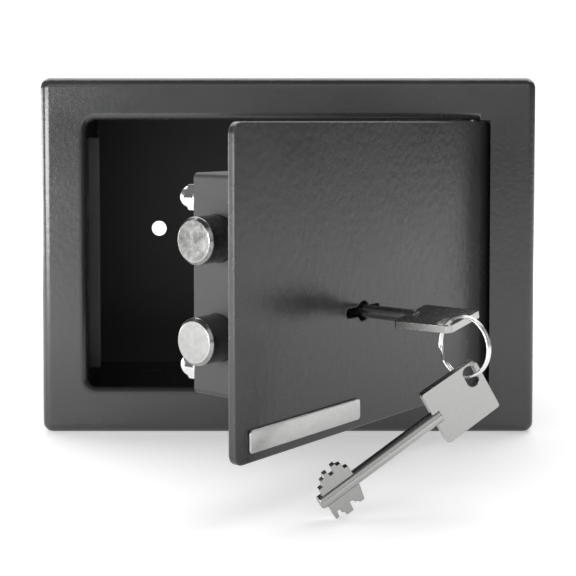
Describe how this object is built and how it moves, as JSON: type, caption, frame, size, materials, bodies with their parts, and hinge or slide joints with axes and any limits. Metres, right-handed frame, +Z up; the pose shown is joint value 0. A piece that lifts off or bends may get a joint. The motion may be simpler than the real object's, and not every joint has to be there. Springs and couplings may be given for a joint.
{
  "type": "key safe",
  "caption": "Small steel safe with an inset hinged door standing open, live bolts on a lock housing, and a double-bit key in the keyhole with a spare on a split ring",
  "frame": {"origin": "middle of the underside of the body, on the surface the safe stands on", "axes": "X to the right seen from the front, Y from the door side to the back, Z up"},
  "size_m": [0.233, 0.3104, 0.168],
  "materials": {
    "body_paint": "anthracite powder coat, semi-matte",
    "inner_paint": "the same powder coat, thinner inside",
    "housing_paint": "grey powder coat, semi-matte",
    "brushed_nickel": "turned steel, nickel plated",
    "bright_nickel": "polished nickel plating",
    "plain_steel": "bare cold-rolled steel",
    "zinc_steel": "zinc-plated steel",
    "lever_brass": "stamped brass, bare",
    "key_nickel": "nickel-plated brass, satin"
  },
  "bodies": {
    "safe": {"body_shell": "body_paint", "back_panel": "inner_paint", "bolt_keep": "inner_paint", "hinge_bracket_upper": "inner_paint", "hinge_bracket_lower": "inner_paint", "hinge_washer": "zinc_steel"},
    "door": {"door_plate": "body_paint", "hinge_block_upper": "body_paint", "hinge_block_lower": "body_paint", "hinge_pin_upper": "plain_steel", "hinge_pin_lower": "plain_steel", "lock_housing": "housing_paint", "lock_cover": "housing_paint", "cover_studs": "zinc_steel", "cover_washers": "bright_nickel", "cap_nuts": "bright_nickel", "lock_case": "plain_steel", "case_screws": "zinc_steel", "key_guide": "zinc_steel", "lever_post": "plain_steel", "lever_pack": "lever_brass", "lever_springs": "plain_steel", "guide_posts": "zinc_steel"},
    "bolts": {"bolt_carriage": "plain_steel", "live_bolt_upper": "brushed_nickel", "live_bolt_lower": "brushed_nickel", "bolt_screws": "zinc_steel"},
    "key": {"door_key": "key_nickel"},
    "ring": {"split_ring": "bright_nickel"},
    "spare": {"spare_key": "key_nickel"}
  },
  "joints": [
    {"name": "door_hinge", "type": "hinge", "parent": "safe", "child": "door", "pos_m": [0.0881, -0.078, 0.085], "axis": [0, 0, 1], "range_deg": [-51.8, 36]},
    {"name": "bolt_throw", "type": "slide", "parent": "door", "child": "bolts", "axis": [-0.6184, -0.7859, 0], "range_m": [0, 0.012]},
    {"name": "key_turn", "type": "hinge", "parent": "door", "child": "key", "pos_m": [0.03096, -0.16194, 0.06993], "axis": [0.7859, -0.6184, 0], "range_deg": [0, 172]},
    {"name": "ring_swing", "type": "hinge", "parent": "key", "child": "ring", "pos_m": [0.06084, -0.19296, 0.06918], "axis": [-0.4501, 0.4533, -0.7694], "range_deg": [-25, 8]},
    {"name": "spare_swing", "type": "hinge", "parent": "ring", "child": "spare", "pos_m": [0.06879, -0.20096, 0.05078], "axis": [0.6874, -0.6922, 0.2198], "range_deg": [-30, 60]}
  ],
  "couplings": [
    {"joint": "key_turn", "follows": "bolt_throw", "rad_per_m": 250.16}
  ]
}
